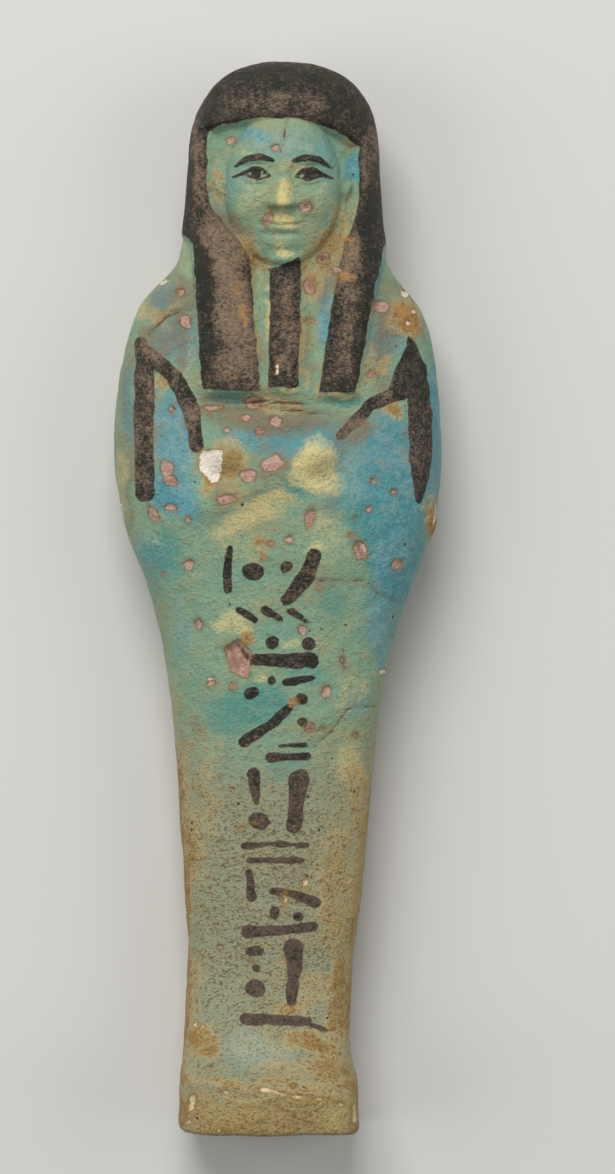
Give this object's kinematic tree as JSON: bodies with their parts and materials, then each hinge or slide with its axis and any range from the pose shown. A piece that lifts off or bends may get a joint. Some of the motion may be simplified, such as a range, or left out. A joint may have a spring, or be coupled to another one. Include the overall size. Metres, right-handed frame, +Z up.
{
  "type": "ushabti figurine",
  "caption": "Mummiform funerary figurine of turquoise glazed faience with a black-painted wig, beard, hoes and a column of marks, worn and chipped, lying on its back.",
  "frame": {"origin": "on the surface that the figurine lies on, under the middle of its length and width", "axes": "+Z up, out of its face and chest; +Y from the soles towards the crown; +X towards the figure's own left side"},
  "size_m": [0.0354, 0.115, 0.02],
  "materials": {
    "glazed_faience": "semi-gloss turquoise glaze, worn, pitted and dirty, with black-brown painted detail"
  },
  "bodies": {
    "root": {"figurine": "glazed_faience"}
  },
  "joints": []
}
